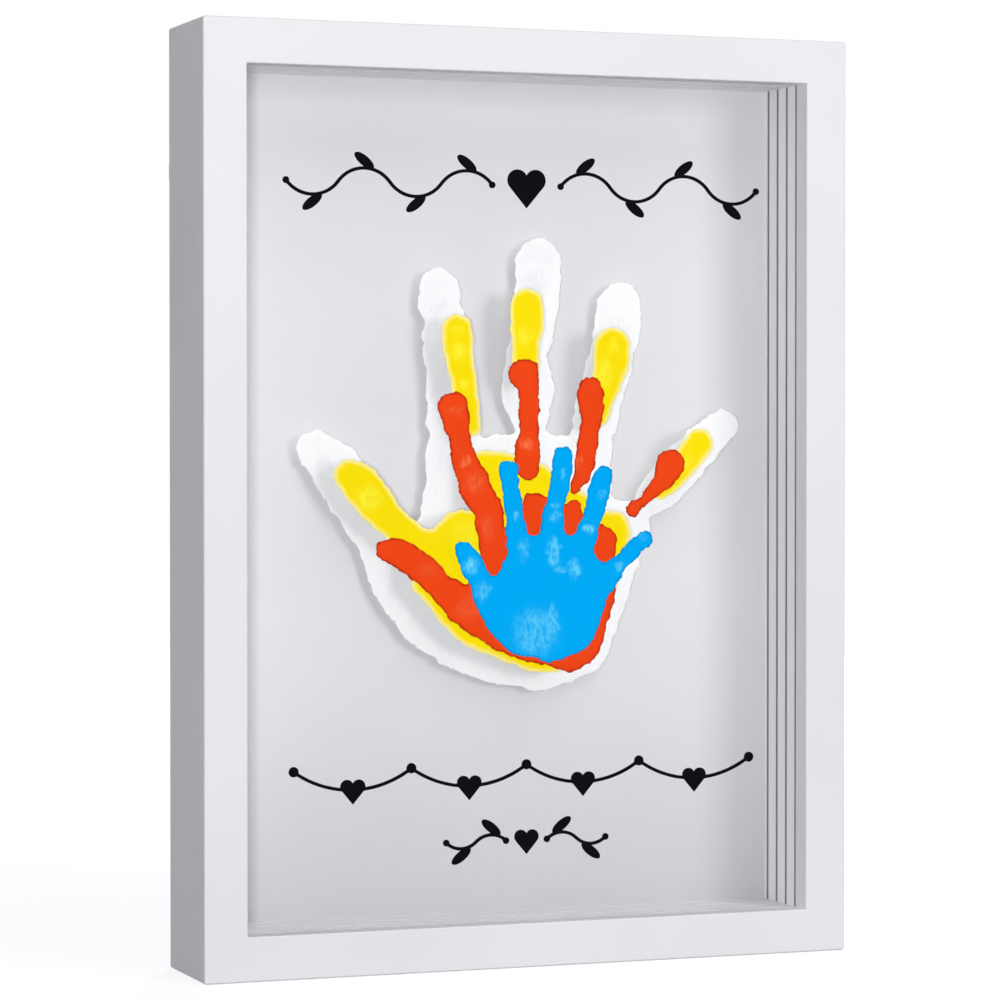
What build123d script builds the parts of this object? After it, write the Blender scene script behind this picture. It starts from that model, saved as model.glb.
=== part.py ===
from build123d import *
import os

os.makedirs("parts", exist_ok=True)

# A deep white picture frame that stands on its bottom rail. Behind its lip lie clear sheets, one painted
# handprint on each, held apart by spacer strips. X is the width, Y goes from the front to the back and Z is
# up. The origin is the centre of the bottom face. All sizes are in millimetres.

# Opening and rails
opening_width = 244.0
opening_height = 346.0
face_width = 18.0
lip_overlap = 5.0
lip_depth = 10.0
outer_corner_radius = 1.2
front_edge_radius = 0.8
lip_edge_radius = 0.6
rear_edge_radius = 0.5

# Sheets, spacers and panels behind the lip
sheet_count = 4
sheet_thickness = 2.0
sheet_corner_radius = 1.5
panel_clearance = 0.5
spacer_thickness = 7.9
rear_spacer_thickness = 2.3
spacer_clearance = 0.25
backdrop_thickness = 1.5
filler_thickness = 2.0
back_board_thickness = 2.5

# Paint and ink
paint_thickness = 0.5
web_radius = 2.0
print_step = 0.35
print_margin = 14.75
ink_thickness = 0.4
ink_line_width = 1.4

# Turn buttons on the back
button_thickness = 1.2
button_head_radius = 4.6
button_tip_radius = 3.4
button_reach = 14.0
button_gap = 0.3
button_spread = 140.0
button_edge_radius = 0.3
thumb_tab_height = 2.4
thumb_tab_width = 5.0
thumb_tab_thickness = 1.2

# Screws
screw_radius = 1.5
screw_length = 12.0
screw_head_radius = 3.0
screw_head_height = 1.8
screw_head_round = 0.8
screw_slot_width = 0.8
screw_slot_length = 3.4
screw_slot_depth = 0.9
pilot_clearance = 0.05
swivel_clearance = 0.1
screw_hole_clearance = 0.2

# Strap hangers and D-rings
hanger_drop = 54.0
strap_width = 8.0
strap_thickness = 1.0
strap_screw_drop = 18.0
strap_tail = 5.0
strap_tail_radius = 3.2
barrel_width = 6.0
barrel_lift = 0.3
ring_wire_radius = 0.9
ring_bar_clearance = 0.1
ring_side_clearance = 0.4
ring_corner_radius = 1.6
ring_leg_length = 5.0

# V-nails in the mitres
nail_inset = 9.5
nail_leg = 6.0
nail_thickness = 0.7
nail_height = 10.0
nail_stack = 2
nail_clearance = 0.05

# Ink ornament: places from the top or bottom edge of the opening to its middle line, then sizes
top_vine_drop = 45.0
garland_rise = 64.0
sprig_rise = 33.0
ink_dot_radius = 1.4
bead_radius = 2.1
heart_lobe = 4.4
small_heart_lobe = 2.8
leaf_length = 10.0
leaf_width = 4.0
leaf_turn = 38.0
leaf_offset = 3.0
vine_start = 15.0
vine_wave = 22.0
vine_waves = 4
vine_sag = 5.5
garland_swag = 50.0
garland_swags = 4
garland_sag = 8.0
sprig_start = 9.0
sprig_wave = 13.0
sprig_waves = 2
sprig_sag = 2.6

# Sizes that follow
outer_width = opening_width + 2 * face_width
outer_height = opening_height + 2 * face_width
rabbet_width = opening_width + 2 * lip_overlap
rabbet_height = opening_height + 2 * lip_overlap
rear_wall = face_width - lip_overlap
sheet_pitch = sheet_thickness + spacer_thickness
rear_spacer_depth = lip_depth + sheet_count * sheet_thickness + (sheet_count - 1) * spacer_thickness
backdrop_depth = rear_spacer_depth + rear_spacer_thickness
filler_depth = backdrop_depth + backdrop_thickness
back_board_depth = filler_depth + filler_thickness
rail_depth = back_board_depth + back_board_thickness
front_y = -rail_depth / 2
rear_y = rail_depth / 2
middle_z = outer_height / 2


def depth_plane(depth, rise=0):
    """Plane across the frame at a depth behind its front face: X right, Y up, facing the viewer.
    Its origin lies on the middle of the opening, or at a rise above it."""
    return Plane(origin=(0, front_y + depth, middle_z + rise), x_dir=(1, 0, 0), z_dir=(0, -1, 0))


def save(piece, name):
    """Labels a finished piece and writes its file."""
    piece.label = name
    export_step(piece, f"parts/{name}.step")


# Places of the turn buttons: pivot in the depth plane and the way each points when it is closed
pivot_x = rabbet_width / 2 + rear_wall / 2
pivot_y = rabbet_height / 2 + rear_wall / 2
button_places = {
    "turn_button_left_upper": ((-pivot_x, button_spread / 2), (1, 0, 0)),
    "turn_button_left_lower": ((-pivot_x, -button_spread / 2), (1, 0, 0)),
    "turn_button_right_upper": ((pivot_x, button_spread / 2), (-1, 0, 0)),
    "turn_button_right_lower": ((pivot_x, -button_spread / 2), (-1, 0, 0)),
    "turn_button_top": ((0, pivot_y), (0, 0, -1)),
    "turn_button_bottom": ((0, -pivot_y), (0, 0, 1)),
}
button_pivots = [pivot for pivot, _ in button_places.values()]

# Places of the strap hangers
barrel_y = outer_height / 2 - hanger_drop
strap_screw_y = barrel_y - strap_screw_drop
hanger_sides = {"left": -pivot_x, "right": pivot_x}
strap_screw_points = [(x, strap_screw_y) for x in hanger_sides.values()]

# Corners of the frame as signs of X and Y in the depth plane
corner_signs = [(-1, -1), (1, -1), (1, 1), (-1, 1)]
nail_pocket_depth = nail_stack * nail_height


def draw_nail(sign_x, sign_y, growth):
    """Draws one angle-shaped nail on its mitre, its legs pointing out along the two rails."""
    heel_x = sign_x * (outer_width / 2 - nail_inset)
    heel_y = sign_y * (outer_height / 2 - nail_inset)
    long = nail_leg + 2 * growth
    thick = nail_thickness + 2 * growth
    shift = (nail_leg - nail_thickness) / 2
    with Locations((heel_x + sign_x * shift, heel_y)):
        Rectangle(long, thick)
    with Locations((heel_x, heel_y + sign_y * shift)):
        Rectangle(thick, long)


# The frame as one ring, with its rabbet, pilot holes and nail pockets, before it is cut at the mitres
with BuildPart() as frame_ring:
    with BuildSketch(depth_plane(0)):
        RectangleRounded(outer_width, outer_height, outer_corner_radius)
        Rectangle(opening_width, opening_height, mode=Mode.SUBTRACT)
    extrude(amount=-rail_depth)
    with BuildSketch(depth_plane(lip_depth)):
        Rectangle(rabbet_width, rabbet_height)
    extrude(amount=lip_depth - rail_depth, mode=Mode.SUBTRACT)
    front_face = frame_ring.faces().sort_by(Axis.Y)[0]
    fillet(front_face.outer_wire().edges(), radius=front_edge_radius)
    front_face = frame_ring.faces().sort_by(Axis.Y)[0]
    fillet(front_face.inner_wires()[0].edges(), radius=lip_edge_radius)
    rear_face = frame_ring.faces().sort_by(Axis.Y)[-1]
    fillet(rear_face.outer_wire().edges(), radius=rear_edge_radius)
    with BuildSketch(depth_plane(rail_depth)):
        with Locations(*button_pivots, *strap_screw_points):
            Circle(screw_radius + pilot_clearance)
    extrude(amount=screw_length + pilot_clearance, mode=Mode.SUBTRACT)
    with BuildSketch(depth_plane(rail_depth)):
        for corner in corner_signs:
            draw_nail(*corner, nail_clearance)
    extrude(amount=nail_pocket_depth + nail_clearance, mode=Mode.SUBTRACT)

# Each rail is the part of the ring between two mitre planes
out_x = outer_width / 2 + face_width
out_y = outer_height / 2 + face_width
in_x = opening_width / 2 - face_width
in_y = opening_height / 2 - face_width
rail_wedges = {
    "left_rail": [(-out_x, -out_y), (-in_x, -in_y), (-in_x, in_y), (-out_x, out_y)],
    "right_rail": [(out_x, -out_y), (out_x, out_y), (in_x, in_y), (in_x, -in_y)],
    "top_rail": [(-out_x, out_y), (-in_x, in_y), (in_x, in_y), (out_x, out_y)],
    "bottom_rail": [(-out_x, -out_y), (out_x, -out_y), (in_x, -in_y), (-in_x, -in_y)],
}
for name, wedge in rail_wedges.items():
    with BuildPart() as rail:
        add(frame_ring.part)
        with BuildSketch(depth_plane(0)):
            Polygon(*wedge, align=None)
        extrude(amount=-rail_depth, mode=Mode.INTERSECT)
    save(rail.part, name)

# V-nails, stacked in each mitre from the back
with BuildPart() as corner_v_nails:
    for layer in range(nail_stack):
        with BuildSketch(depth_plane(rail_depth - layer * nail_height)):
            for corner in corner_signs:
                draw_nail(*corner, 0)
        extrude(amount=nail_height - nail_clearance)
save(corner_v_nails.part, "corner_v_nails")

# Clear sheets, front to back
panel_width = rabbet_width - 2 * panel_clearance
panel_height = rabbet_height - 2 * panel_clearance
sheet_names = ["front_sheet", "second_sheet", "third_sheet", "rear_sheet"]
sheet_depths = [lip_depth + level * sheet_pitch for level in range(sheet_count)]
for name, depth in zip(sheet_names, sheet_depths):
    with BuildPart() as sheet:
        with BuildSketch(depth_plane(depth)):
            RectangleRounded(panel_width, panel_height, sheet_corner_radius)
        extrude(amount=-sheet_thickness)
    save(sheet.part, name)

# Spacer strips: side strips run the full height, and top and bottom strips butt between them
strip_width = lip_overlap - spacer_clearance
strip_x = opening_width / 2 + strip_width / 2
strip_y = opening_height / 2 + strip_width / 2
side_strip_height = rabbet_height - 2 * spacer_clearance
spacer_strips = {
    "left": ((-strip_x, 0), strip_width, side_strip_height),
    "right": ((strip_x, 0), strip_width, side_strip_height),
    "top": ((0, strip_y), opening_width, strip_width),
    "bottom": ((0, -strip_y), opening_width, strip_width),
}
spacer_levels = {
    "front_spacer": (sheet_depths[0] + sheet_thickness, spacer_thickness),
    "second_spacer": (sheet_depths[1] + sheet_thickness, spacer_thickness),
    "third_spacer": (sheet_depths[2] + sheet_thickness, spacer_thickness),
    "rear_spacer": (rear_spacer_depth, rear_spacer_thickness),
}
for level_name, (depth, thickness) in spacer_levels.items():
    for side, (place, width, height) in spacer_strips.items():
        with BuildPart() as strip:
            with BuildSketch(depth_plane(depth)):
                with Locations(place):
                    Rectangle(width, height)
            extrude(amount=-thickness)
        save(strip.part, f"{level_name}_{side}")

# Backdrop panel, the card that fills the depth behind it, and the back board
panels = {
    "backdrop_panel": (backdrop_depth, backdrop_thickness),
    "filler_card": (filler_depth, filler_thickness),
    "back_board": (back_board_depth, back_board_thickness),
}
for name, (depth, thickness) in panels.items():
    with BuildPart() as panel:
        with BuildSketch(depth_plane(depth)):
            Rectangle(panel_width, panel_height)
        extrude(amount=-thickness)
    save(panel.part, name)

# Handprints. A pad is a round touch of paint (x, y, radius), measured from the middle of the opening.
# A finger is a chain of pads, each joined to the next. A palm is made of patches, each a wrap round its pads.
white_print = {
    "patches": [
        [(-44, -30, 16.5), (-33, -46, 16), (-16, -57.5, 15.5), (-8, -62, 14.5),
         (16, -62, 19), (34, -61, 13.8), (53.5, -13, 12)],
        [(-20, 8, 14), (-3, 13.5, 12.5), (10, 14, 13), (24, 13.5, 12.5), (38, 10, 10),
         (36, -30, 14), (0, -40, 20), (-26, -12, 12.5)],
    ],
    "chains": [
        [(-83.2, 20.2, 8.1), (-74, 12.3, 11), (-64, -1.5, 11.6), (-53.5, -16, 12), (-44, -30, 16.5)],
        [(-28.8, 86.2, 9.1), (-28.8, 79.5, 9.1), (-25.2, 73, 8.4), (-25.6, 66, 11.4), (-24.2, 54, 11),
         (-23.3, 42, 11.6), (-23, 33, 12), (-22, 25, 11.2), (-22.5, 15, 12.8), (-20, 5, 14)],
        [(15.2, 98, 10.2), (14.8, 88, 10.3), (13.2, 77, 10.2), (12, 67, 9.6), (9.6, 58.8, 8.4),
         (9.9, 47.5, 11.7), (10.2, 42, 11.6), (11.5, 31, 7.6), (11.5, 22, 8)],
        [(51.8, 79.8, 10.2), (50.8, 70, 10.4), (48, 60, 10.3), (44.8, 48, 10), (41.5, 36, 10.2),
         (39.5, 26, 9.6), (38, 16, 10)],
        [(98.8, 29.8, 7.4), (90, 22.3, 8.6), (80, 12.3, 9.2), (71, 3, 8.6), (65.8, -1.5, 6.8)],
    ],
}
yellow_print = {
    "patches": [
        [(-22.5, -16.5, 11.8), (-30, -30, 15), (-14, -45, 17), (14, -56, 17.4), (30, -48, 13), (45, -14, 8.2)],
        [(-13, 13.5, 6), (-2, 12.6, 6.2), (10.5, 8.5, 6), (30, -6, 7.5), (30, -20, 12), (0, -30, 14)],
    ],
    "chains": [
        [(-71.8, 10.3, 5.6), (-66.5, 6, 8.4), (-60, -1.5, 8.2), (-52, -10, 6.8), (-43, -18, 7), (-34, -24, 9)],
        [(-24.3, 69, 6.6), (-23.8, 61.5, 6.6), (-22.3, 53, 5.9), (-20.8, 45, 5.6), (-19, 36, 4.8),
         (-18, 29.5, 4.2)],
        [(6.8, 79.2, 7.6), (6.8, 71, 7.5), (6.2, 64.5, 6.3), (6.3, 52, 6)],
        [(45, 63, 8.1), (44.6, 58.5, 8.6), (43, 50, 6.9), (41.2, 42, 5.3), (38.5, 33, 4)],
        [(84.8, 22.9, 6.2), (79.5, 15.5, 6), (73, 7.5, 5), (67, 2, 3.4)],
    ],
}
orange_print = {
    "patches": [
        [(-24, -44, 8.5), (-14, -47.5, 11.5), (4, -53, 14), (22, -56, 15.7), (33, -41, 9.4), (37.6, -17.3, 5.7)],
        [(5, -1, 3.3), (9.5, -1, 3.2), (37.6, -17.3, 5.7), (22, -40, 14), (0, -44, 14)],
    ],
    "chains": [
        [(-58.6, -20.5, 4.2), (-52, -22, 6), (-46, -25.5, 6), (-40.5, -30, 6.4), (-33, -37.5, 5.6),
         (-24, -44, 8.5)],
        [(-28.9, 37, 6.8), (-28, 32.5, 6), (-26, 26.5, 4.4), (-25.2, 20, 5.3), (-22.4, 11.5, 6.2),
         (-19.5, 4.5, 7), (-14, -4.5, 6), (-12.2, -15, 6.2), (-10.8, -26, 5.4)],
        [(-10.8, -2.2, 3.2), (-12.2, -15, 6.2)],
        [(1, 51.3, 5.8), (4.4, 52.6, 4.5), (4.4, 30, 4.3), (3.8, 19, 5.5), (4.2, 12.4, 5)],
        [(31.8, 43.3, 6.4), (32.3, 33, 4.6), (29.9, 19.2, 4.6), (28.1, 10, 4.2), (25, 4, 2.2)],
        [(24, -4.5, 3.7), (23.5, -12, 3.4), (22, -20, 4)],
        [(67.9, 14, 6.3), (65, 8, 5), (60, 2.2, 3.2), (54.5, -2.2, 2.2), (50.3, -5, 3)],
    ],
}
blue_print = {
    "patches": [
        [(0, -22, 7), (22, -22, 7), (29.5, -36, 7.8), (24, -48.5, 9.5), (20, -51.5, 11.8), (11.5, -55, 12),
         (-2, -53, 11), (-10, -46, 9.5)],
    ],
    "chains": [
        [(-25.8, -20.6, 2.9), (-28.2, -20.8, 3), (-23.6, -27.5, 5), (-19.5, -35, 5), (-15.5, -42, 7),
         (-10, -46, 9.5)],
        [(-25.8, -20.6, 2.9), (-23.6, -27.5, 5)],
        [(-6.3, 12.5, 3.1), (-8.6, 12.4, 3.1), (-7, 5.5, 3.7), (-6.1, 1, 3.9), (-5, -7.5, 3.9), (-3.4, -20, 5.2)],
        [(-6.3, 12.5, 3.1), (-7, 5.5, 3.7)],
        [(17.3, 18.2, 2.9), (15.3, 18.3, 3), (15.6, 11, 4.4), (14.4, 4, 4.5), (12.6, -2, 3.7), (11.6, -8, 4.7),
         (11.2, -18, 6)],
        [(17.3, 18.2, 2.9), (15.6, 11, 4.4)],
        [(35, 9.5, 3.1), (33.2, 9.6, 3.1), (32, 2.5, 4.8), (30.5, -4, 4.5), (28.2, -11, 4.4), (25, -20, 5)],
        [(35, 9.5, 3.1), (32, 2.5, 4.8)],
        [(53.5, -18.2, 2.6), (52.6, -17.3, 3.2), (47.5, -21, 3.9), (41.5, -27.2, 3.6), (34, -34, 6)],
    ],
}
handprints = {
    "blue_handprint": (blue_print, sheet_depths[0]),
    "orange_handprint": (orange_print, sheet_depths[1]),
    "yellow_handprint": (yellow_print, sheet_depths[2]),
    "white_handprint": (white_print, sheet_depths[3]),
}

# Each print lies a step further right than the one in front of it. The widest print is the last. It keeps its
# margin to the side of the opening, and the others go with it.
widest_reach = max(abs(x) + radius for chain in white_print["chains"] for x, _, radius in chain)
widest_room = opening_width / 2 - print_margin - (sheet_count - 1) * print_step
print_scale = widest_room / widest_reach


def pad_edge(pad, shift):
    """Outline of one pad of paint, shifted to the right."""
    x, y, radius = (print_scale * value for value in pad)
    return Edge.make_circle(radius, Plane(origin=(x + shift, y, 0)))


# Swelling a print and drawing it in again rounds its inner corners, such as the webs between the fingers
for number, (name, (hand, depth)) in enumerate(handprints.items()):
    shift = number * print_step
    with BuildPart() as handprint:
        with BuildSketch(depth_plane(depth)):
            for patch in hand["patches"]:
                make_hull([pad_edge(pad, shift) for pad in patch])
            for chain in hand["chains"]:
                for pad, next_pad in zip(chain, chain[1:]):
                    make_hull([pad_edge(pad, shift), pad_edge(next_pad, shift)])
            offset(amount=web_radius, kind=Kind.ARC)
            offset(amount=-web_radius, kind=Kind.ARC)
        extrude(amount=paint_thickness)
    save(handprint.part, name)

# Ink ornament on the front sheet: a leafy vine, a garland of hearts and a short sprig


def draw_heart(x, y, lobe):
    """Draws a filled heart about x and y: two lobes of the given radius over a point."""
    lobe_x = 0.9 * lobe
    lobe_y = 0.5 * lobe
    side_x = 1.68 * lobe
    side_y = -0.13 * lobe
    with Locations((x - lobe_x, y + lobe_y), (x + lobe_x, y + lobe_y)):
        Circle(lobe)
    with Locations((x, y)):
        Polygon((-side_x, side_y), (0, -2.1 * lobe), (side_x, side_y), (0, lobe_x), align=None)


def draw_vine(start, wave, waves, sag):
    """Draws a wavy stem out to both sides, with a leaf on the outside of each wave and a dot at each end."""
    side = 1
    for number in range(waves):
        near = start + number * wave
        middle = near + wave / 2
        with BuildLine() as bend:
            ThreePointArc((near, 0), (middle, side * sag), (near + wave, 0))
            mirror(about=Plane.YZ)
        trace(bend.line, line_width=ink_line_width)
        leaf_y = side * (sag + leaf_offset)
        turn = side * leaf_turn
        with Locations(Location((middle, leaf_y), turn), Location((-middle, leaf_y), -turn)):
            Ellipse(leaf_length / 2, leaf_width / 2)
        side = -side
    tip = start + waves * wave
    with Locations((start, 0), (-start, 0), (tip, 0), (-tip, 0)):
        Circle(ink_dot_radius)


ink_depth = sheet_depths[0]
with BuildPart() as top_vine:
    with BuildSketch(depth_plane(ink_depth, opening_height / 2 - top_vine_drop)):
        draw_heart(0, 0, heart_lobe)
        draw_vine(vine_start, vine_wave, vine_waves, vine_sag)
    extrude(amount=ink_thickness)
save(top_vine.part, "top_vine")

with BuildPart() as heart_garland:
    with BuildSketch(depth_plane(ink_depth, garland_rise - opening_height / 2)):
        for number in range(garland_swags):
            near = (number - garland_swags / 2) * garland_swag
            middle = near + garland_swag / 2
            with BuildLine() as swag:
                ThreePointArc((near, 0), (middle, -garland_sag), (near + garland_swag, 0))
            trace(swag.line, line_width=ink_line_width)
            draw_heart(middle, -garland_sag, small_heart_lobe)
            with Locations((near, 0), (near + garland_swag, 0)):
                Circle(bead_radius)
    extrude(amount=ink_thickness)
save(heart_garland.part, "heart_garland")

with BuildPart() as small_sprig:
    with BuildSketch(depth_plane(ink_depth, sprig_rise - opening_height / 2)):
        draw_heart(0, 0, small_heart_lobe)
        draw_vine(sprig_start, sprig_wave, sprig_waves, sprig_sag)
    extrude(amount=ink_thickness)
save(small_sprig.part, "small_sprig")

# Turn buttons, each a flat blade with a thumb tab, swivelling on its screw
for name, ((x, y), inward) in button_places.items():
    seat = Plane(origin=(x, rear_y + button_gap, middle_z + y), x_dir=inward, z_dir=(0, 1, 0))
    with BuildPart() as turn_button:
        with BuildSketch(seat):
            Circle(button_head_radius)
            with Locations((button_reach, 0)):
                Circle(button_tip_radius)
            make_hull()
        extrude(amount=button_thickness)
        blade_top = turn_button.faces().sort_by(Axis.Y)[-1]
        fillet(blade_top.outer_wire().edges(), radius=button_edge_radius)
        with BuildSketch(seat.offset(button_thickness)):
            with Locations((button_reach, 0)):
                Rectangle(thumb_tab_thickness, thumb_tab_width)
        extrude(amount=thumb_tab_height)
        with BuildSketch(seat):
            Circle(screw_radius + swivel_clearance)
        extrude(amount=button_thickness, mode=Mode.SUBTRACT)
    save(turn_button.part, name)


def screw_set(points, grip):
    """Pan-head screws at points on the back, their heads at a grip height above the rear face."""
    with BuildPart() as screws:
        with BuildSketch(depth_plane(rail_depth)):
            with Locations(*points):
                Circle(screw_radius)
        extrude(amount=screw_length)
        with BuildSketch(depth_plane(rail_depth)):
            with Locations(*points):
                Circle(screw_radius)
        extrude(amount=-grip)
        with BuildSketch(depth_plane(rail_depth + grip)):
            with Locations(*points):
                Circle(screw_head_radius)
        extrude(amount=-screw_head_height)
        head_rims = screws.faces().group_by(Axis.Y)[-1].edges()
        fillet(head_rims, radius=screw_head_round)
        with BuildSketch(depth_plane(rail_depth + grip + screw_head_height)):
            with Locations(*points):
                Rectangle(screw_slot_length, screw_slot_width)
                Rectangle(screw_slot_width, screw_slot_length)
        extrude(amount=screw_slot_depth, mode=Mode.SUBTRACT)
    return screws.part


save(screw_set(button_pivots, button_gap + button_thickness + swivel_clearance), "button_screws")
save(screw_set(strap_screw_points, strap_thickness), "hanger_screws")

# Strap hangers: a flat strap screwed to the side rail, rolled into a barrel at its upper end
barrel_bore = ring_wire_radius + ring_bar_clearance
barrel_radius = barrel_bore + strap_thickness
barrel_height = barrel_radius + barrel_lift
strap_length = strap_screw_drop + strap_tail
barrel_place = (rear_y + barrel_height, middle_z + barrel_y)
for side, x in hanger_sides.items():
    with BuildPart() as strap:
        with BuildSketch(depth_plane(rail_depth)):
            with Locations((x, barrel_y - strap_length / 2)):
                Rectangle(strap_width, strap_length)
        extrude(amount=-strap_thickness)
        tail_corners = strap.edges().filter_by(Axis.Y).group_by(Axis.Z)[0]
        fillet(tail_corners, radius=strap_tail_radius)
        with BuildSketch(Plane.YZ.offset(x)):
            with Locations(barrel_place):
                Circle(barrel_radius)
        extrude(amount=barrel_width / 2, both=True)
        with BuildSketch(Plane.YZ.offset(x)):
            with Locations(barrel_place):
                Circle(barrel_bore)
        extrude(amount=strap_width, both=True, mode=Mode.SUBTRACT)
        with BuildSketch(depth_plane(rail_depth)):
            with Locations((x, strap_screw_y)):
                Circle(screw_radius + screw_hole_clearance)
        extrude(amount=-strap_thickness, mode=Mode.SUBTRACT)
    save(strap.part, f"hanger_strap_{side}")

# D-rings, hanging down from their barrels: a straight bar, two legs and a round bow of wire
bar_half = barrel_width / 2 + ring_side_clearance
bow_radius = bar_half + ring_corner_radius
leg_top = -ring_corner_radius
leg_bottom = leg_top - ring_leg_length
for side, x in hanger_sides.items():
    ring_plane = Plane(
        origin=(x, rear_y + barrel_height, middle_z + barrel_y), x_dir=(1, 0, 0), z_dir=(0, -1, 0)
    )
    with BuildPart() as d_ring:
        with BuildLine(ring_plane) as wire_path:
            Line((-bar_half, 0), (bar_half, 0))
            RadiusArc((bar_half, 0), (bow_radius, leg_top), ring_corner_radius)
            Line((bow_radius, leg_top), (bow_radius, leg_bottom))
            ThreePointArc((bow_radius, leg_bottom), (0, leg_bottom - bow_radius), (-bow_radius, leg_bottom))
            Line((-bow_radius, leg_bottom), (-bow_radius, leg_top))
            RadiusArc((-bow_radius, leg_top), (-bar_half, 0), ring_corner_radius)
        with BuildSketch(Plane(origin=wire_path.line @ 0, z_dir=wire_path.line % 0)):
            Circle(ring_wire_radius)
        sweep()
    save(d_ring.part, f"d_ring_{side}")
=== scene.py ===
import math

import bmesh
import bpy
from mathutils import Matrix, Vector, kdtree, noise


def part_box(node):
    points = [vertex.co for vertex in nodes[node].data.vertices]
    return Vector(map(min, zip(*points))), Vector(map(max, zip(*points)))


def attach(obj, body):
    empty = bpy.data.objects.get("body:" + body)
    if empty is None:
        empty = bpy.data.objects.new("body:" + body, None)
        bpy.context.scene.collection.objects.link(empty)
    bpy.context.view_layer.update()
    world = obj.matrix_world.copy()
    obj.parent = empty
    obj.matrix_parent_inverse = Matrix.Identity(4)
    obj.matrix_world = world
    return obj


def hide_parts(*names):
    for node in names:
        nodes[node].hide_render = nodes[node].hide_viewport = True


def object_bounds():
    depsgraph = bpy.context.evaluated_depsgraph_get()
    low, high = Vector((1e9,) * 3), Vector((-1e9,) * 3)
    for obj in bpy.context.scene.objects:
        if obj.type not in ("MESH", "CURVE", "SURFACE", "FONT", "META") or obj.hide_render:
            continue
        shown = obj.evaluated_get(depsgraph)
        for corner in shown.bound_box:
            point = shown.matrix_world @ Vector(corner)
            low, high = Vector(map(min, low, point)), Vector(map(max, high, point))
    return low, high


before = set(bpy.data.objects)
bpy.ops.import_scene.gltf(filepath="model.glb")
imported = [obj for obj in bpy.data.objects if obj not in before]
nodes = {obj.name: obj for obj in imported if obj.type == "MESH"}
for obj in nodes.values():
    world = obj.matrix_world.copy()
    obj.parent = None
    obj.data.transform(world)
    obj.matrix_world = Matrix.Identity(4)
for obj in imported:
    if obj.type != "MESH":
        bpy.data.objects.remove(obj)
cad_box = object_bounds()
middle = (cad_box[0] + cad_box[1]) / 2

# The deep white frame stands on its bottom rail, and its front looks along -Y. Sizes are in metres.
MM = 0.001

# Camera: to the left of the frame and a little above its middle, with its turn and dip in degrees
camera_place = (-0.541, -1.414, 0.2174)
camera_turn = 20.73
camera_dip = 1.03
camera_lens = 131.8
camera_sensor = 36.0

# Lamps, each with its place, the length of its side and its power
lamps = {
    "fill_lamp": ((-0.717, -1.867, 0.190), 0.3, 19.2),
    "high_lamp": ((0.316, -0.868, 1.372), 0.9, 6.2),
    "key_lamp": ((0.886, -1.535, 0.503), 0.6, 8.8),
    "side_lamp": ((-1.695, -0.551, 0.441), 0.8, 3.2),
    "back_lamp": ((0.900, 1.700, 0.800), 1.0, 26.0),
}

# Room and floor: the room's light on the object, and the floor's glow near the object and far from it
room_light = 0.10
room_tint = (0.95, 0.97, 1.0, 1.0)
room_white = (1.0, 1.0, 1.0, 1.0)
floor_size = 6.0
floor_drop = 0.2 * MM
floor_tint = (0.25, 0.26, 0.30, 1.0)
near_glow = 0.86
far_glow = 1.0
glow_start = 0.5
glow_end = 2.2

# Clear sheets: where the first one starts, the step to the next, and a sheet's share of that step
sheet_start, sheet_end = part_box("front_sheet")
sheet_front = sheet_start.y
sheet_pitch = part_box("second_sheet")[0].y - sheet_front
sheet_share = (sheet_end.y - sheet_front) / sheet_pitch

# Spacer strips: a painted dark band stands for the shade in the slot where each sheet runs between the strips,
# as wide as a share of the step
slot_shade_width = 0.05
slot_shade_tint = (0.03, 0.03, 0.034)

# Backdrop: painted shade makes it greyer from one height above the floor down to another
painted_shade_low = 15 * MM
painted_shade_high = 150 * MM
painted_shade_curve = 2.0
painted_shade_strength = 0.75
painted_shade_tint = (0.46, 0.46, 0.485)

# Grain sizes of the finishes
roller_mark = 1.1 * MM
paint_dimple = 2.2 * MM
rail_cloud = 90 * MM
wiping_mark = 22 * MM
ink_speckle = 0.7 * MM
sawn_grain = 0.8 * MM
paper_tooth = 0.6 * MM
paper_cloud = 60 * MM
card_flute = 4 * MM
card_fibre = 0.5 * MM
board_fleck = 0.9 * MM
board_cloud = 45 * MM
rolling_mark = 0.4 * MM
hand_speckle = 0.9 * MM
hand_daub = 1.7 * MM
hand_streak = 2.6 * MM
hand_cloud = 25 * MM

# Heights of the finishes' relief
rail_relief = 0.035 * MM
ink_relief = 0.03 * MM
paper_relief = 0.04 * MM
card_relief = 0.2 * MM
board_relief = 0.05 * MM
steel_relief = 0.01 * MM

# The hand paint's darker clouds, as a share of its colour
cloud_share = 0.97

# Handprints: the coat's height, how it rises from its edge, its ridges and how far they keep from the edge
paint_height = 0.30 * MM
paint_edge = 0.40
edge_slope = 0.5 * MM
edge_reach = 6 * MM
ridge_height = 0.14
ridge_margin = 2 * MM
long_ridge = 6 * MM
short_ridge = 2.4 * MM
long_ridge_share = 0.6

# The flat film is swollen before it gets an even mesh, so that the mesh is more than one grain thick
film_swell = 4.0
weld_distance = 0.001 * MM
smoothing_rounds = 3
smoothing_strength = 0.5
wall_slant = 0.7

# Outline of the paint: slow waves, quicker ones and a fine fray at the edge
slow_wave = 4.5 * MM
quick_wave = 2.0 * MM
quick_share = 0.4
fray_wave = 0.95 * MM
outline_fray = 0.45 * MM
lane_gap = 7.3

# Each hand's mesh grain, the sway of its outline and its own lane of the noise
prints = {
    "blue": (0.45 * MM, 0.80 * MM, 0.0),
    "orange": (0.50 * MM, 0.95 * MM, 10.0),
    "yellow": (0.60 * MM, 0.85 * MM, 20.0),
    "white": (0.68 * MM, 1.15 * MM, 30.0),
}
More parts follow.
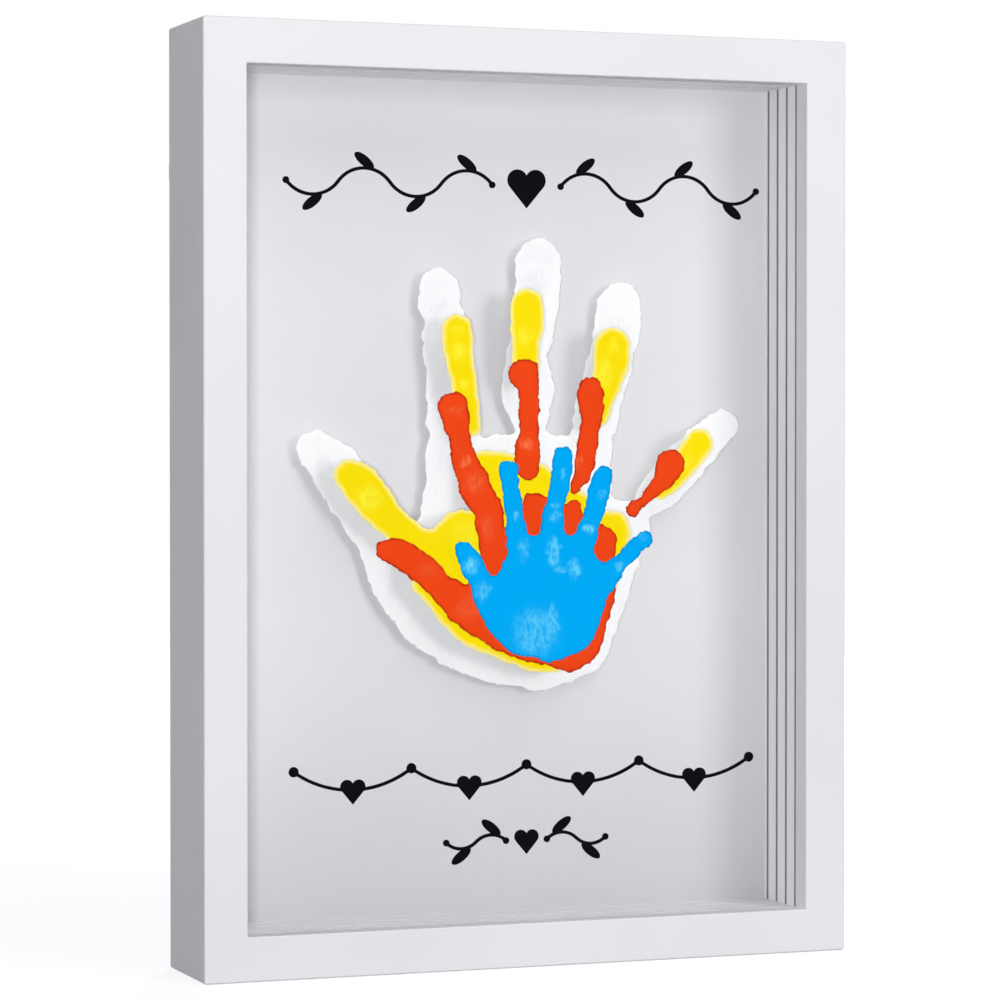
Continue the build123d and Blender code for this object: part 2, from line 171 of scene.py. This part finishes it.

# Spots where the coat is thinner and takes a second tone, each with its place from the middle of the opening,
# its half width and half height, and its strength. On the coloured prints that tone is paler and partly a
# painted highlight, the gloss on fingertips and joints. Places and sizes are in millimetres.
thinner_paint_and_painted_light_spots = {
    "blue": [
        (-5, -7, 1.1, 1.7, 0.8), (12.5, -7, 1.9, 1.5, 0.9), (12.5, -3, 2.0, 1.1, 0.6),
        (16, 10, 1.2, 2.4, 0.5), (27.5, -12.5, 2.4, 1.7, 1.0), (12, -22, 2.4, 4.6, 0.9),
        (13, -18, 1.4, 1.6, 0.8), (21, -29, 2.2, 3.2, 0.8), (14.5, -29.5, 2.6, 1.2, 0.5),
        (-1, -21, 1.8, 4.0, 0.4), (-25, -27, 2.8, 3.0, 0.8), (-19, -38, 2.8, 3.4, 0.5),
        (41, -28, 1.5, 1.6, 0.7), (33, 2, 1.6, 1.6, 0.4), (52, -16, 1.5, 1.5, 0.25),
        (4, -55, 8.0, 8.0, 0.55), (11.5, -50, 2.2, 5.5, 0.7),
    ],
    "orange": [
        (-23.5, 15, 1.9, 2.0, 0.9), (3.5, 22.5, 2.6, 2.4, 0.8), (27, 15, 1.6, 3.0, 0.7),
        (-28, 36, 3.0, 2.0, 0.4), (-19, 6, 3.5, 4.0, 0.45), (-40, -29, 4.0, 2.5, 0.3),
        (-22, -45, 5.0, 4.0, 0.35), (-13, -12, 2.5, 5.0, 0.3),
    ],
    "yellow": [
        (-23, 60, 3.2, 3.2, 1.0), (6.5, 67, 3.6, 3.2, 0.9), (42, 52, 3.4, 5.0, 0.9),
        (-62, 0, 5.0, 4.6, 0.9), (79, 15, 3.0, 3.6, 0.7), (46, 63, 2.5, 3.0, 0.6),
        (-20, -15, 6.0, 5.0, 0.4), (-20.5, 47, 2.4, 2.4, 0.7), (-24, 69, 2.8, 2.2, 0.5),
    ],
    # White print: grey smudges, but the spots at (-23, 56) and (-26, 20), on the index finger's middle and the
    # palm under it, are painted shade from the yellow print
    "white": [
        (14, 89, 5.5, 6.0, 0.65), (50, 69, 6.0, 6.0, 0.75), (-28.5, 78, 5.0, 4.5, 0.6),
        (-76, 11, 5.0, 7.0, 0.65), (16.5, 100, 4.5, 3.0, 0.4), (-30, 88, 4.0, 2.5, 0.35),
        (-50, -36, 6.0, 9.0, 0.35), (-23, 56, 3.5, 7.0, 0.5), (-26, 20, 3.5, 9.0, 0.4),
        (18, -70, 14.0, 3.0, 0.4), (88, 20, 4.0, 4.0, 0.3),
    ],
}
spot_stray = 1.5 * MM
spot_wave = 2.0 * MM
spot_falloff = 1.6


def start_finish(name):
    """Starts a material. Gives it with its node tree, its shader and the piece's own coordinates."""
    finish = bpy.data.materials.new(name)
    finish.use_nodes = True
    tree = finish.node_tree
    shader = tree.nodes["Principled BSDF"]
    place = tree.nodes.new("ShaderNodeTexCoord").outputs["Object"]
    return finish, tree, shader, place


def stretch(tree, place, factors):
    """Coordinates scaled along each axis, so that a pattern runs along a piece."""
    mapping = tree.nodes.new("ShaderNodeMapping")
    mapping.inputs["Scale"].default_value = factors
    tree.links.new(place, mapping.inputs["Vector"])
    return mapping.outputs["Vector"]


def axis(tree, place, letter):
    """One of the three coordinates, by its letter."""
    parts = tree.nodes.new("ShaderNodeSeparateXYZ")
    tree.links.new(place, parts.inputs["Vector"])
    return parts.outputs[letter]


def grain(tree, place, size, detail=2.0, roughness=0.5, distortion=0.0):
    """Noise whose grains are about the given size. Gives its value, from 0 to 1."""
    texture = tree.nodes.new("ShaderNodeTexNoise")
    texture.inputs["Scale"].default_value = 1.0 / size
    texture.inputs["Detail"].default_value = detail
    texture.inputs["Roughness"].default_value = roughness
    texture.inputs["Distortion"].default_value = distortion
    tree.links.new(place, texture.inputs["Vector"])
    return texture.outputs["Fac"]


def cells(tree, place, size):
    """Random grey cells of about the given size."""
    texture = tree.nodes.new("ShaderNodeTexVoronoi")
    texture.inputs["Scale"].default_value = 1.0 / size
    tree.links.new(place, texture.inputs["Vector"])
    return texture.outputs["Color"]


def attribute(tree, name):
    """A value that the piece's mesh carries at each point."""
    reader = tree.nodes.new("ShaderNodeAttribute")
    reader.attribute_name = name
    return reader.outputs["Fac"]


def span(tree, value, low, high, to_low, to_high):
    """Maps a value from one range to another, and holds it at the ends."""
    node = tree.nodes.new("ShaderNodeMapRange")
    node.inputs["From Min"].default_value = low
    node.inputs["From Max"].default_value = high
    node.inputs["To Min"].default_value = to_low
    node.inputs["To Max"].default_value = to_high
    tree.links.new(value, node.inputs["Value"])
    return node.outputs["Result"]


def combine(tree, first, second, operation):
    """Joins two values by a sum such as ADD or MULTIPLY. The second may be a plain number."""
    node = tree.nodes.new("ShaderNodeMath")
    node.operation = operation
    tree.links.new(first, node.inputs[0])
    if isinstance(second, float):
        node.inputs[1].default_value = second
    else:
        tree.links.new(second, node.inputs[1])
    return node.outputs["Value"]


def tone(tree, value, stops):
    """Colour ramp over a value. Stops are pairs of a place from 0 to 1 and a linear colour."""
    node = tree.nodes.new("ShaderNodeValToRGB")
    ramp = node.color_ramp
    while len(ramp.elements) < len(stops):
        ramp.elements.new(1.0)
    for element, (place, colour) in zip(ramp.elements, stops):
        element.position = place
        element.color = (*colour, 1.0)
    tree.links.new(value, node.inputs["Fac"])
    return node.outputs["Color"]


def lay_over(tree, under, over, share):
    """Mixes a plain colour over another by a share from 0 to 1."""
    node = tree.nodes.new("ShaderNodeMix")
    node.data_type = "RGBA"
    tree.links.new(share, node.inputs["Factor"])
    tree.links.new(under, node.inputs["A"])
    node.inputs["B"].default_value = (*over, 1.0)
    return node.outputs["Result"]


def relief(tree, shader, height, depth):
    """Bumps a surface by a height value, with the given depth."""
    node = tree.nodes.new("ShaderNodeBump")
    node.inputs["Strength"].default_value = 1.0
    node.inputs["Distance"].default_value = depth
    tree.links.new(height, node.inputs["Height"])
    tree.links.new(node.outputs["Normal"], shader.inputs["Normal"])


def seen(tree):
    """1 for what the eye sees, also in gloss or through a clear piece, and 0 for light on the object."""
    path = tree.nodes.new("ShaderNodeLightPath")
    direct = combine(tree, path.outputs["Is Camera Ray"], path.outputs["Is Glossy Ray"], "MAXIMUM")
    return combine(tree, direct, path.outputs["Is Transmission Ray"], "MAXIMUM")


def satin_white(name, along):
    """White satin paint with faint roller marks along a rail."""
    finish, tree, shader, place = start_finish(name)
    marks = grain(tree, stretch(tree, place, along), roller_mark, detail=3.0, roughness=0.6)
    peel = grain(tree, place, paint_dimple, detail=1.0)
    cloud = grain(tree, place, rail_cloud, detail=2.0)
    white = tone(tree, cloud, [(0.3, (0.80, 0.80, 0.82)), (0.7, (0.84, 0.84, 0.855))])
    tree.links.new(white, shader.inputs["Base Color"])
    tree.links.new(span(tree, marks, 0.3, 0.7, 0.40, 0.54), shader.inputs["Roughness"])
    shader.inputs["Specular IOR Level"].default_value = 0.35
    relief(tree, shader, combine(tree, marks, peel, "ADD"), rail_relief)
    return finish


def clear_acrylic():
    """Polished acrylic with a low-glare face and faint wiping marks."""
    finish, tree, shader, place = start_finish("clear_acrylic")
    smear = grain(tree, stretch(tree, place, (1.0, 1.0, 0.35)), wiping_mark, detail=3.0)
    tree.links.new(span(tree, smear, 0.35, 0.75, 0.0, 0.008), shader.inputs["Roughness"])
    shader.inputs["Base Color"].default_value = (0.998, 0.999, 1.0, 1.0)
    shader.inputs["IOR"].default_value = 1.49
    shader.inputs["Specular Tint"].default_value = (0.03, 0.03, 0.03, 1.0)
    shader.inputs["Transmission Weight"].default_value = 1.0
    return finish


def black_ink():
    """Satin black ink, a little uneven."""
    finish, tree, shader, place = start_finish("black_ink")
    speckle = grain(tree, place, ink_speckle, detail=2.0)
    black = tone(tree, speckle, [(0.3, (0.002, 0.002, 0.003)), (0.75, (0.006, 0.005, 0.007))])
    tree.links.new(black, shader.inputs["Base Color"])
    tree.links.new(span(tree, speckle, 0.3, 0.7, 0.35, 0.6), shader.inputs["Roughness"])
    shader.inputs["Specular IOR Level"].default_value = 0.03
    relief(tree, shader, speckle, ink_relief)
    return finish


def white_strip(name, slot_shade_share, grain_depth, roughness, shine):
    """White coat on the spacer strips, with a faint sawn grain and a painted dark band along each sheet for
    the shade in its slot.
    """
    finish, tree, shader, place = start_finish(name)
    sawn = grain(tree, place, sawn_grain, detail=3.0, roughness=0.65)
    white = tone(tree, sawn, [(0.25, (0.88, 0.88, 0.90)), (0.75, (0.93, 0.93, 0.945))])
    # Painted shade: a dark band on the strip faces beside each sheet, where the slot between the strips lies
    # in shade
    depth = combine(tree, axis(tree, place, "Y"), -sheet_front, "ADD")
    turns = combine(tree, combine(tree, depth, sheet_pitch, "DIVIDE"), 1.0, "FLOORED_MODULO")
    behind = span(tree, turns, sheet_share, sheet_share + slot_shade_width, 1.0, 0.0)
    before = span(tree, turns, 1.0 - slot_shade_width, 1.0, 0.0, 1.0)
    slot_shade = combine(tree, combine(tree, behind, before, "MAXIMUM"), slot_shade_share, "MULTIPLY")
    tree.links.new(lay_over(tree, white, slot_shade_tint, slot_shade), shader.inputs["Base Color"])
    shader.inputs["Roughness"].default_value = roughness
    shader.inputs["Specular IOR Level"].default_value = shine
    relief(tree, shader, sawn, grain_depth)
    return finish


def faced_backdrop():
    """Pale matt paper facing with a fine tooth, and painted shade that turns it greyer towards its foot."""
    finish, tree, shader, place = start_finish("faced_backdrop")
    tooth = grain(tree, place, paper_tooth, detail=3.0, roughness=0.6)
    cloud = grain(tree, place, paper_cloud, detail=2.0)
    pale = tone(tree, cloud, [(0.3, (0.780, 0.770, 0.785)), (0.7, (0.800, 0.790, 0.805))])
    toothed = lay_over(tree, pale, (0.69, 0.68, 0.695), span(tree, tooth, 0.35, 0.65, 0.0, 0.12))
    # Painted shade: the backdrop turns greyer towards its foot, as if less light reached it there
    painted_shade_ramp = span(tree, axis(tree, place, "Z"), painted_shade_low, painted_shade_high, 1.0, 0.0)
    painted_shade_share = combine(tree, combine(tree, painted_shade_ramp, painted_shade_curve, "POWER"), painted_shade_strength, "MULTIPLY")
    tree.links.new(lay_over(tree, toothed, painted_shade_tint, painted_shade_share), shader.inputs["Base Color"])
    shader.inputs["Roughness"].default_value = 0.85
    shader.inputs["Specular IOR Level"].default_value = 0.1
    relief(tree, shader, tooth, paper_relief)
    return finish


def packing_card():
    """Brown card with pressed fluting."""
    finish, tree, shader, place = start_finish("packing_card")
    flutes = grain(tree, stretch(tree, place, (1.0, 1.0, 0.02)), card_flute, detail=1.0)
    fibres = grain(tree, place, card_fibre, detail=3.0)
    brown = tone(tree, fibres, [(0.3, (0.36, 0.24, 0.14)), (0.7, (0.46, 0.32, 0.19))])
    tree.links.new(brown, shader.inputs["Base Color"])
    shader.inputs["Roughness"].default_value = 0.9
    relief(tree, shader, flutes, card_relief)
    return finish


def brown_hardboard():
    """Pressed brown fibreboard: fine flecks over slow brown clouds, with a slight shine."""
    finish, tree, shader, place = start_finish("brown_hardboard")
    cloud = grain(tree, place, board_cloud, detail=3.0)
    drawn = stretch(tree, place, (1.0, 1.0, 0.35))
    flecks = grain(tree, drawn, board_fleck, detail=4.0, roughness=0.7)
    brown = tone(tree, cloud, [(0.25, (0.165, 0.082, 0.040)), (0.75, (0.225, 0.118, 0.060))])
    pale = span(tree, flecks, 0.52, 0.72, 0.0, 0.75)
    dark = span(tree, flecks, 0.47, 0.30, 0.0, 0.8)
    flecked = lay_over(tree, brown, (0.34, 0.20, 0.11), pale)
    flecked = lay_over(tree, flecked, (0.075, 0.036, 0.018), dark)
    tree.links.new(flecked, shader.inputs["Base Color"])
    tree.links.new(span(tree, flecks, 0.3, 0.7, 0.42, 0.62), shader.inputs["Roughness"])
    relief(tree, shader, flecks, board_relief)
    return finish


def plated_steel(name, dull, bright, crystal):
    """Plated steel: faint crystal cells and rolling marks in its tone and roughness."""
    finish, tree, shader, place = start_finish(name)
    patches = cells(tree, place, crystal)
    marks = grain(tree, stretch(tree, place, (1.0, 1.0, 0.08)), rolling_mark, detail=2.0)
    tree.links.new(tone(tree, patches, [(0.1, dull), (0.9, bright)]), shader.inputs["Base Color"])
    tree.links.new(span(tree, marks, 0.3, 0.7, 0.28, 0.46), shader.inputs["Roughness"])
    shader.inputs["Metallic"].default_value = 1.0
    relief(tree, shader, marks, steel_relief)
    return finish


def hand_paint(name, body, thinner_paint_and_painted_light_tone, rim, rim_width, rim_share, streak_share):
    """Flat hand paint: faintly streaked, another tone at its rim, and a second tone in spots of thinner paint
    that are partly painted light.
    """
    finish, tree, shader, place = start_finish(name)
    speckle = grain(tree, place, hand_speckle, detail=3.0, roughness=0.7)
    drawn = stretch(tree, place, (1.0, 1.0, 0.3))
    streaks = grain(tree, drawn, hand_streak, detail=3.0, distortion=0.6)
    cloud = grain(tree, place, hand_cloud, detail=2.0)
    base = tone(tree, cloud, [(0.3, tuple(cloud_share * c for c in body)), (0.7, body)])
    base = lay_over(tree, base, thinner_paint_and_painted_light_tone, span(tree, streaks, 0.50, 0.75, 0.0, streak_share))
    fray = span(tree, speckle, 0.3, 0.7, -0.25, 0.25)
    ragged = combine(tree, attribute(tree, "edge"), fray, "ADD")
    base = lay_over(tree, base, rim, span(tree, ragged, 0.0, rim_width, rim_share, 0.0))
    dabbed = stretch(tree, place, (1.0, 1.0, 0.5))
    daubs = grain(tree, dabbed, hand_daub, detail=2.0, distortion=0.8)
    daub_share = span(tree, daubs, 0.36, 0.60, 0.15, 1.0)
    speckle_share = span(tree, speckle, 0.35, 0.65, 0.6, 1.0)
    # Spots in the second tone: thinner paint, with painted highlight on the coloured prints and painted shade
    # at two places on the white one
    spot_share = combine(tree, attribute(tree, "thinner_paint_and_painted_light"), daub_share, "MULTIPLY")
    spot_share = combine(tree, spot_share, speckle_share, "MULTIPLY")
    tree.links.new(lay_over(tree, base, thinner_paint_and_painted_light_tone, spot_share), shader.inputs["Base Color"])
    tree.links.new(span(tree, speckle, 0.3, 0.7, 0.40, 0.60), shader.inputs["Roughness"])
    shader.inputs["Specular IOR Level"].default_value = 0.025
    return finish


finishes = {
    "upright": satin_white("satin_white_upright", (1.0, 1.0, 0.03)),
    "level": satin_white("satin_white_level", (0.03, 1.0, 1.0)),
    "acrylic": clear_acrylic(),
    "ink": black_ink(),
    "side_strip": white_strip("side_strip", slot_shade_share=0.75, grain_depth=0.04 * MM,
                              roughness=0.75, shine=0.15),
    "level_strip": white_strip("level_strip", slot_shade_share=0.12, grain_depth=0.008 * MM,
                               roughness=0.22, shine=0.5),
    "backdrop": faced_backdrop(),
    "card": packing_card(),
    "hardboard": brown_hardboard(),
    "nail": plated_steel("nail_steel", (0.36, 0.36, 0.37), (0.50, 0.50, 0.51), 3 * MM),
    "zinc": plated_steel("zinc_steel", (0.40, 0.42, 0.44), (0.58, 0.59, 0.60), 1.2 * MM),
    "screw": plated_steel("yellow_zinc", (0.46, 0.36, 0.17), (0.60, 0.51, 0.31), 1.6 * MM),
    "blue": hand_paint("blue_paint", body=(0.0, 0.410, 0.93), thinner_paint_and_painted_light_tone=(0.20, 0.82, 0.98),
                       rim=(0.0, 0.24, 0.62), rim_width=0.9, rim_share=0.9, streak_share=0.01),
    "orange": hand_paint("orange_paint", body=(0.88, 0.060, 0.006), thinner_paint_and_painted_light_tone=(0.97, 0.24, 0.10),
                         rim=(0.45, 0.018, 0.004), rim_width=0.9, rim_share=1.0, streak_share=0.05),
    "yellow": hand_paint("yellow_paint", body=(1.0, 0.77, 0.0), thinner_paint_and_painted_light_tone=(1.0, 0.95, 0.05),
                         rim=(1.0, 0.95, 0.50), rim_width=1.9, rim_share=0.6, streak_share=0.03),
    # White coat: its slightly lighter rim is painted light, standing for the shade that the coloured prints
    # cast on its inner part
    "white": hand_paint("white_paint", body=(0.985, 0.985, 0.985), thinner_paint_and_painted_light_tone=(0.80, 0.805, 0.82),
                        rim=(0.99, 0.99, 0.99), rim_width=1.6, rim_share=0.9, streak_share=0.25),
}

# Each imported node's finish, by the first of these words that its name holds. The prints get theirs as paint.
node_finishes = {
    "left_rail": "upright", "right_rail": "upright", "_rail": "level",
    "_spacer_left": "side_strip", "_spacer_right": "side_strip", "_spacer_": "level_strip",
    "_sheet": "acrylic", "v_nails": "nail", "screws": "screw",
    "vine": "ink", "garland": "ink", "sprig": "ink",
    "backdrop": "backdrop", "filler": "card", "back_board": "hardboard",
    "button": "zinc", "hanger": "zinc", "d_ring": "zinc",
}
for name, node in nodes.items():
    look = next((look for word, look in node_finishes.items() if word in name), None)
    if look is None:
        continue
    for material_slot in node.material_slots:
        material_slot.material = finishes[look]
    # Light goes straight through the clear sheets, and past the thin ink on them
    if look in ("acrylic", "ink"):
        node.visible_shadow = False
        node.visible_diffuse = False


def wave(point, size, lane):
    """Smooth noise from -1 to 1 at a point, with humps of the given size. Each lane is another pattern."""
    return noise.noise(Vector((point.x / size, lane * lane_gap, point.z / size)))


def rough_outline(point, sway, fray, lane):
    """How far a point of the outline strays to one side."""
    slow = wave(point, slow_wave, lane) + quick_share * wave(point, quick_wave, lane + 1)
    return sway * slow + fray * wave(point, fray_wave, lane + 2)


def thinner_paint_and_painted_light_share(point, spots, lane):
    """How much of the spot tone a point takes, from 0 to 1: thinner paint, partly painted light."""
    x = point.x + spot_stray * wave(point, spot_wave, lane + 8)
    z = point.z - middle.z + spot_stray * wave(point, spot_wave, lane + 9)
    share = 0.0
    for spot_x, spot_z, half_width, half_height, strength in spots:
        across = (x / MM - spot_x) / half_width
        up = (z / MM - spot_z) / half_height
        share = max(share, strength * math.exp(-(across * across + up * up) ** 2 / spot_falloff))
    return share


def even_film(name, node, sheet_y, grain_size):
    """An even mesh of a node's film, swollen away from its sheet."""
    bm = bmesh.new()
    bm.from_mesh(node.data)
    bmesh.ops.remove_doubles(bm, verts=bm.verts, dist=weld_distance)
    for vert in bm.verts:
        vert.co.y = sheet_y + (vert.co.y - sheet_y) * film_swell
    mesh = bpy.data.meshes.new(name)
    bm.to_mesh(mesh)
    bm.free()
    mould = bpy.data.objects.new(name + "_mould", mesh)
    bpy.context.scene.collection.objects.link(mould)
    remesh = mould.modifiers.new("even_mesh", "REMESH")
    remesh.mode = "VOXEL"
    remesh.voxel_size = grain_size
    graph = bpy.context.evaluated_depsgraph_get()
    even = bpy.data.meshes.new_from_object(mould.evaluated_get(graph))
    bpy.data.objects.remove(mould)
    return even


def pour_paint(name, node_name, grain_size, sway, lane, spots):
    """Makes one handprint's coat of paint, with a rough outline and pressed ridges, from its node."""
    low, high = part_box(node_name)
    sheet_y = high.y
    swollen = (high.y - low.y) * film_swell
    even = even_film(name, nodes[node_name], sheet_y, grain_size)
    bm = bmesh.new()
    bm.from_mesh(even)
    for _ in range(smoothing_rounds):
        bmesh.ops.smooth_vert(bm, verts=bm.verts, factor=smoothing_strength,
                              use_axis_x=True, use_axis_y=False, use_axis_z=True)
    wall = [v for v in bm.verts if abs(v.normal.y) < wall_slant]
    outline = kdtree.KDTree(len(wall))
    for index, vert in enumerate(wall):
        outline.insert((vert.co.x, 0.0, vert.co.z), index)
    outline.balance()
    thinner_paint_and_painted_light_layer = bm.verts.layers.float.new("thinner_paint_and_painted_light")
    edge_layer = bm.verts.layers.float.new("edge")
    for vert in bm.verts:
        point = vert.co.copy()
        _, _, inset = outline.find((point.x, 0.0, point.z))
        lift = min(max((sheet_y - point.y) / swollen, 0.0), 1.0)
        body = paint_edge + (1 - paint_edge) * (1 - math.exp(-inset / edge_slope))
        ridges = (long_ridge_share * wave(point, long_ridge, lane)
                  + (1 - long_ridge_share) * wave(point, short_ridge, lane + 1))
        inner = min(inset / ridge_margin, 1.0)
        thinner_paint_and_painted_light = thinner_paint_and_painted_light_share(point, spots, lane)
        height = body + ridge_height * (ridges - thinner_paint_and_painted_light) * inner
        fray = outline_fray * (1.0 - inner)
        vert[thinner_paint_and_painted_light_layer] = thinner_paint_and_painted_light
        vert[edge_layer] = min(inset, edge_reach) / MM
        vert.co.y = sheet_y - lift * height * paint_height
        vert.co.x += rough_outline(point, sway, fray, lane + 2)
        vert.co.z += rough_outline(point, sway, fray, lane + 5)
    for face in bm.faces:
        face.smooth = True
    bm.to_mesh(even)
    bm.free()
    even.name = name
    paint = bpy.data.objects.new(name, even)
    bpy.context.scene.collection.objects.link(paint)
    return paint


for colour, (grain_size, sway, lane) in prints.items():
    paint = pour_paint(f"{colour}_hand_paint", f"{colour}_handprint", grain_size, sway, lane, thinner_paint_and_painted_light_spots[colour])
    paint.data.materials.clear()
    paint.data.materials.append(finishes[colour])
    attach(paint, "frame")
    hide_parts(f"{colour}_handprint")
    paint.visible_diffuse = colour == "white"
    paint.visible_shadow = colour in ("yellow", "white")

# Floor: pale, with a glow of its own for the eye, so that it meets the white room and keeps the shadow
bm = bmesh.new()
bmesh.ops.create_grid(bm, x_segments=1, y_segments=1, size=floor_size)
bmesh.ops.translate(bm, verts=bm.verts, vec=(0, 0, -floor_drop))
floor_mesh = bpy.data.meshes.new("floor")
bm.to_mesh(floor_mesh)
bm.free()
floor = bpy.data.objects.new("floor", floor_mesh)
bpy.context.scene.collection.objects.link(floor)

floor_finish = bpy.data.materials.new("pale_floor")
floor_finish.use_nodes = True
tree = floor_finish.node_tree
tree.nodes.remove(tree.nodes["Principled BSDF"])
matt = tree.nodes.new("ShaderNodeBsdfDiffuse")
matt.inputs["Color"].default_value = floor_tint
away = tree.nodes.new("ShaderNodeVectorMath")
away.operation = "LENGTH"
tree.links.new(tree.nodes.new("ShaderNodeTexCoord").outputs["Object"], away.inputs[0])
glow = tree.nodes.new("ShaderNodeEmission")
glow_strength = span(tree, away.outputs["Value"], glow_start, glow_end, near_glow, far_glow)
tree.links.new(glow_strength, glow.inputs["Strength"])
both = tree.nodes.new("ShaderNodeAddShader")
tree.links.new(matt.outputs["BSDF"], both.inputs[0])
tree.links.new(glow.outputs["Emission"], both.inputs[1])
pick = tree.nodes.new("ShaderNodeMixShader")
tree.links.new(seen(tree), pick.inputs["Fac"])
tree.links.new(matt.outputs["BSDF"], pick.inputs[1])
tree.links.new(both.outputs["Shader"], pick.inputs[2])
tree.links.new(pick.outputs["Shader"], tree.nodes["Material Output"].inputs["Surface"])
floor_mesh.materials.append(floor_finish)

# Room: white to the eye and in reflections, and a softer light on the object
world = bpy.data.worlds.new("studio")
bpy.context.scene.world = world
world.use_nodes = True
tree = world.node_tree
soft = tree.nodes["Background"]
soft.inputs["Color"].default_value = room_tint
soft.inputs["Strength"].default_value = room_light
white = tree.nodes.new("ShaderNodeBackground")
white.inputs["Color"].default_value = room_white
white.inputs["Strength"].default_value = 1.0
pick = tree.nodes.new("ShaderNodeMixShader")
tree.links.new(seen(tree), pick.inputs["Fac"])
tree.links.new(soft.outputs["Background"], pick.inputs[1])
tree.links.new(white.outputs["Background"], pick.inputs[2])
tree.links.new(pick.outputs["Shader"], tree.nodes["World Output"].inputs["Surface"])

# Lamps: square and soft, each turned to the middle of the frame, and not seen in the clear sheets
for lamp_name, (place, size, power) in lamps.items():
    lamp_data = bpy.data.lights.new(lamp_name, "AREA")
    lamp_data.size = size
    lamp_data.energy = power
    lamp = bpy.data.objects.new(lamp_name, lamp_data)
    lamp.location = place
    lamp.rotation_euler = (middle - Vector(place)).to_track_quat("-Z", "Y").to_euler()
    lamp.visible_camera = False
    lamp.visible_glossy = False
    lamp.visible_transmission = False
    bpy.context.scene.collection.objects.link(lamp)

# Camera
camera_data = bpy.data.cameras.new("camera")
camera_data.lens = camera_lens
camera_data.sensor_width = camera_sensor
camera = bpy.data.objects.new("camera", camera_data)
camera.location = camera_place
camera.rotation_euler = (math.radians(90 - camera_dip), 0, math.radians(-camera_turn))
bpy.context.scene.collection.objects.link(camera)
bpy.context.scene.camera = camera
bpy.context.scene.view_settings.view_transform = "Standard"
